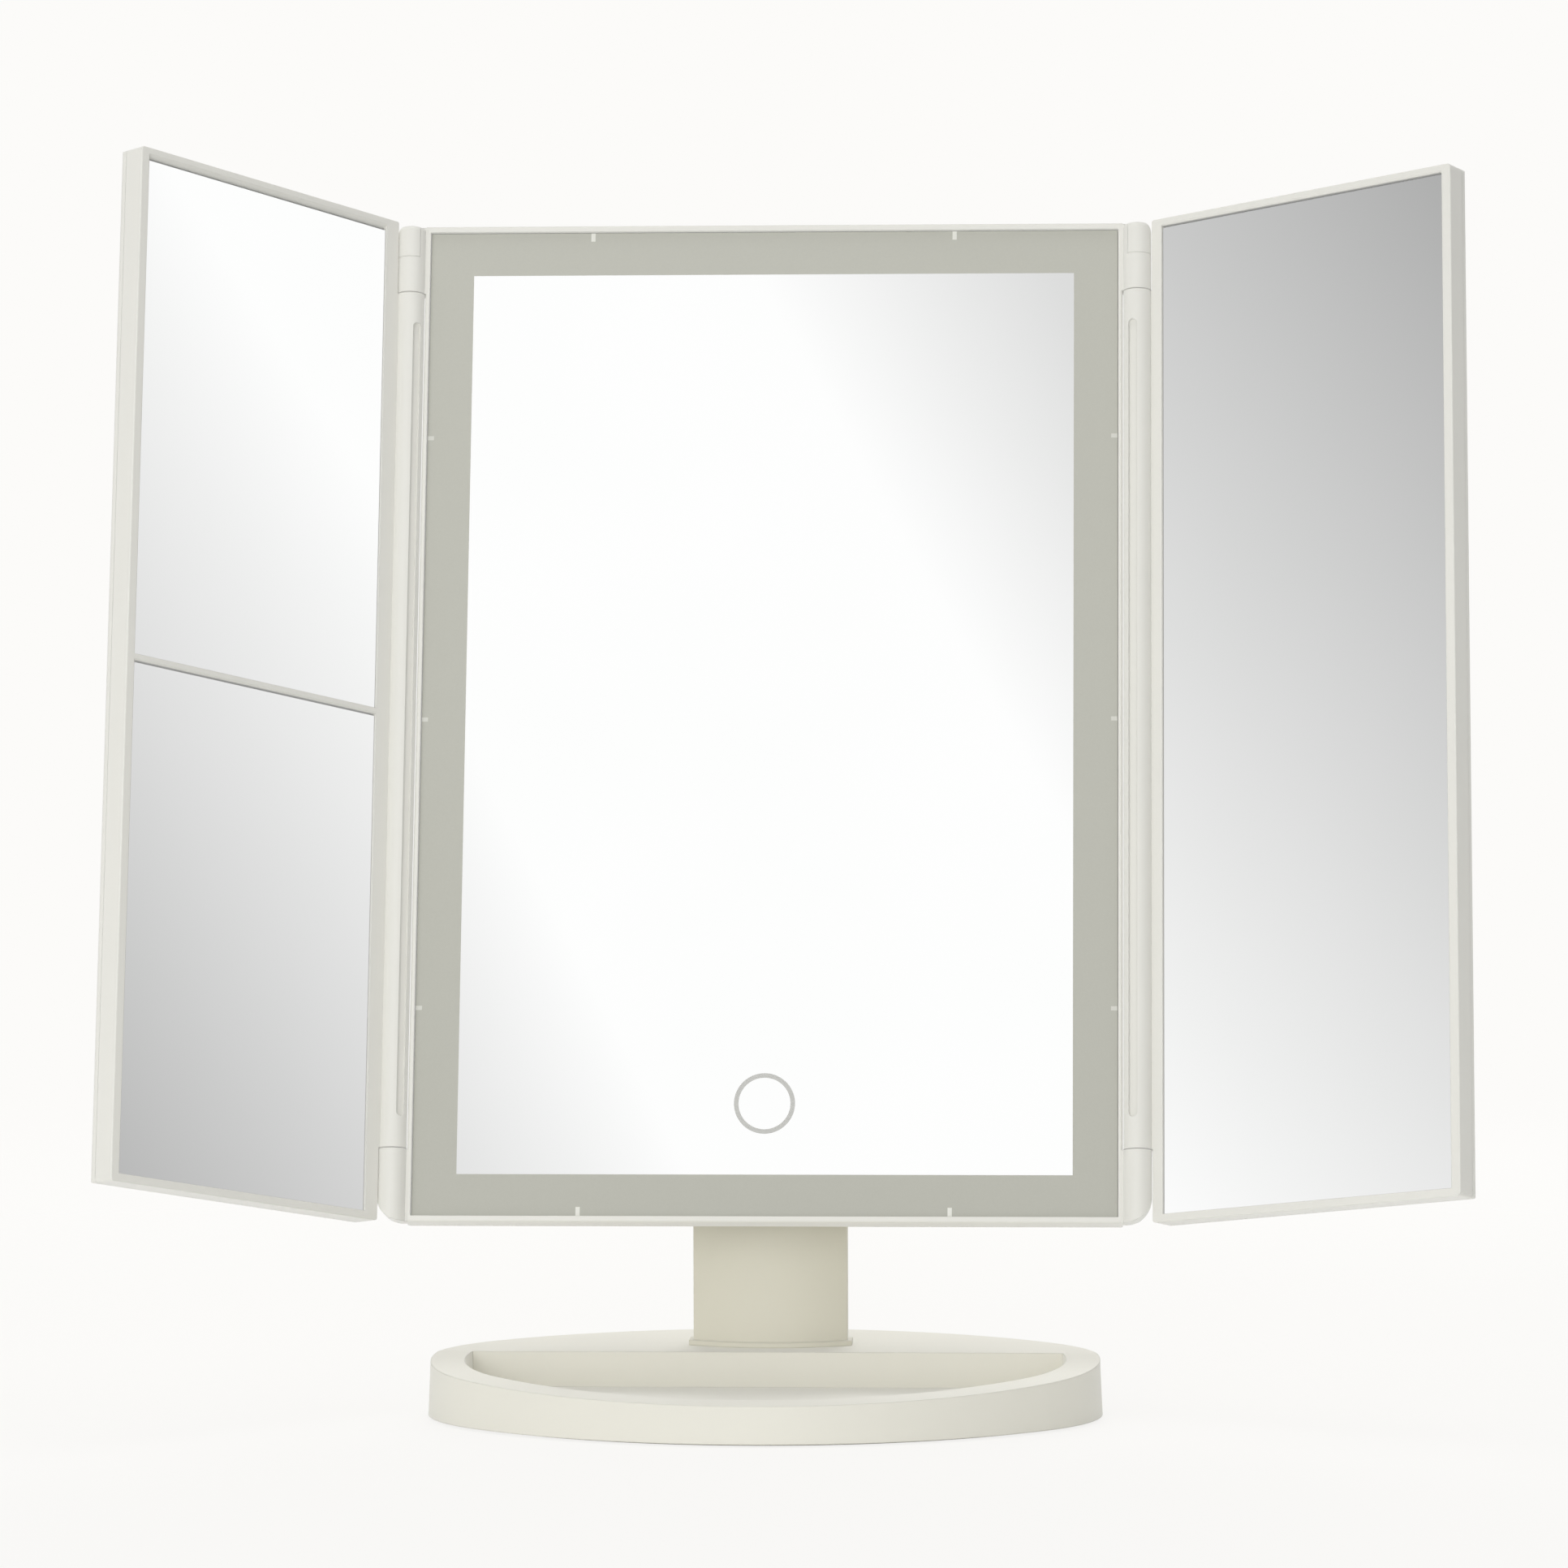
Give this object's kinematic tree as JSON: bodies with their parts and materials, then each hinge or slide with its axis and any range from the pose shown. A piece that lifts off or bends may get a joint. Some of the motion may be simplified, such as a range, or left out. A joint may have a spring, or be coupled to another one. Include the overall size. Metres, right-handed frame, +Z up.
{
  "type": "trifold vanity mirror",
  "caption": "Table mirror on a weighted oval tray base: a tilting lit centre panel with a touch mark, and hinged side wings that fold forward over it.",
  "frame": {"origin": "centre of the base's underside, where it stands on the table", "axes": "+X to the right as seen by the user, +Y away from the user, +Z up; the mirror faces -Y"},
  "size_m": [0.31, 0.1287, 0.2949],
  "materials": {
    "ivory_plastic": "satin moulded ivory plastic",
    "shade_plastic": "satin moulded ivory plastic, a little darker",
    "white_plastic": "matt white plastic",
    "opal_plastic": "opal plastic that spreads the light",
    "mirror_glass": "silvered glass; the centre one has a frosted border",
    "pad": "soft non-slip sheet",
    "foam": "adhesive foam sheet",
    "steel": "bright zinc-plated steel",
    "contact": "nickel-plated spring steel",
    "board_white": "white circuit board",
    "board_green": "green circuit board",
    "lamp": "small white lamps with a yellow face",
    "cell": "sleeved cell",
    "wire": "insulated leads"
  },
  "bodies": {
    "stand": {"base_shell": "ivory_plastic", "base_bottom_cover": "shade_plastic", "base_ballast": "steel", "base_pad": "pad", "base_screws": "steel", "stem": "ivory_plastic", "stem_screws": "steel"},
    "centre_panel": {"centre_frame": "ivory_plastic", "centre_glass": "mirror_glass", "diffuser": "opal_plastic", "light_tray": "white_plastic", "led_boards": "board_white", "leds": "lamp", "back_cover": "ivory_plastic", "control_board": "board_green", "touch_spring": "steel", "batteries": "cell", "battery_contacts": "contact", "battery_springs": "steel", "power_socket": "steel", "switch_body": "white_plastic", "cover_screws": "steel", "tilt_pin": "steel", "tilt_nut": "steel", "friction_washers": "white_plastic", "wiring": "wire", "left_hinge_cap": "ivory_plastic", "right_hinge_cap": "ivory_plastic"},
    "left_wing": {"left_wing_frame": "ivory_plastic", "left_wing_cover": "ivory_plastic", "left_upper_mirror": "mirror_glass", "left_lower_mirror": "mirror_glass", "left_foam_pads": "foam", "left_hinge_pins": "steel"},
    "right_wing": {"right_wing_frame": "ivory_plastic", "right_wing_cover": "ivory_plastic", "right_mirror": "mirror_glass", "right_foam_pad": "foam", "right_hinge_pins": "steel"},
    "battery_door": {"battery_door": "ivory_plastic"},
    "switch_knob": {"switch_knob": "shade_plastic"}
  },
  "joints": [
    {"name": "panel_tilt", "type": "hinge", "parent": "stand", "child": "centre_panel", "pos_m": [0, 0.0234, 0.0756], "axis": [-1, 0, 0], "range_deg": [-13.5, 61.5]},
    {"name": "left_wing_fold", "type": "hinge", "parent": "centre_panel", "child": "left_wing", "pos_m": [-0.0867, 0.0221, 0.1623], "axis": [0, 0.2334, 0.9724], "range_deg": [-50.5, 129.5]},
    {"name": "right_wing_fold", "type": "hinge", "parent": "centre_panel", "child": "right_wing", "pos_m": [0.0867, 0.0221, 0.1623], "axis": [0, -0.2334, -0.9724], "range_deg": [-33.5, 146.5]},
    {"name": "battery_door_slide", "type": "slide", "parent": "centre_panel", "child": "battery_door", "axis": [0, 0.2334, 0.9724], "range_m": [0, 0.034]},
    {"name": "power_switch_slide", "type": "slide", "parent": "centre_panel", "child": "switch_knob", "axis": [1, 0, 0], "range_m": [0, 0.003]}
  ]
}
